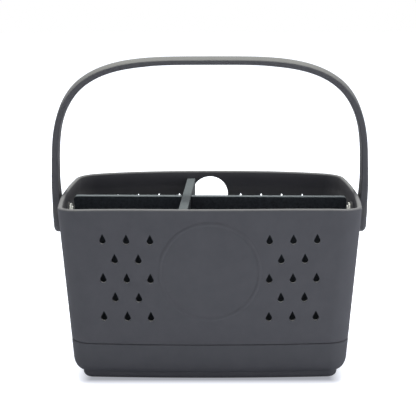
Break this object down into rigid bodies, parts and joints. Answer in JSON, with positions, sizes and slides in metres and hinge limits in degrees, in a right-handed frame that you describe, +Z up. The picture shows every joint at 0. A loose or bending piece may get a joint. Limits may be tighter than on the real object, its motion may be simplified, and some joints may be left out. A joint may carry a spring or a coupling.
{
  "type": "bath caddy",
  "caption": "Divided bath caddy: tapered, drop-perforated basket in a lift-off drip tray, with a swinging bail handle and lift-out crossed dividers.",
  "frame": {"origin": "middle of the drip tray's foot ring, on the surface that the caddy stands on", "axes": "+Z up, +X along the caddy towards its right-hand handle pivot, -Y towards its front wall"},
  "size_m": [0.333, 0.2374, 0.3178],
  "materials": {
    "basket_grey": "fine matte texture",
    "tray_grey": "fine matte texture",
    "handle_grey": "satin matte",
    "divider_dark": "satin matte",
    "pivot_pale": "smooth satin"
  },
  "bodies": {
    "tray": {"drip_tray": "tray_grey"},
    "basket": {"basket": "basket_grey"},
    "handle": {"handle": "handle_grey", "left_pivot_pin": "pivot_pale", "right_pivot_pin": "pivot_pale", "left_washer": "pivot_pale", "right_washer": "pivot_pale"},
    "long_divider": {"long_divider": "divider_dark"},
    "cross_divider": {"cross_divider": "divider_dark"}
  },
  "joints": [
    {"name": "basket_lift", "type": "slide", "parent": "tray", "child": "basket", "axis": [0, 0, 1], "range_m": [0, 0.05]},
    {"name": "handle_swing", "type": "hinge", "parent": "basket", "child": "handle", "pos_m": [0, 0, 0.149], "axis": [1, 0, 0], "range_deg": [-130, 130]},
    {"name": "long_divider_lift", "type": "slide", "parent": "basket", "child": "long_divider", "axis": [0, 0, 1], "range_m": [0, 0.09]},
    {"name": "cross_divider_lift", "type": "slide", "parent": "long_divider", "child": "cross_divider", "axis": [0, 0, 1], "range_m": [0, 0.12]}
  ]
}
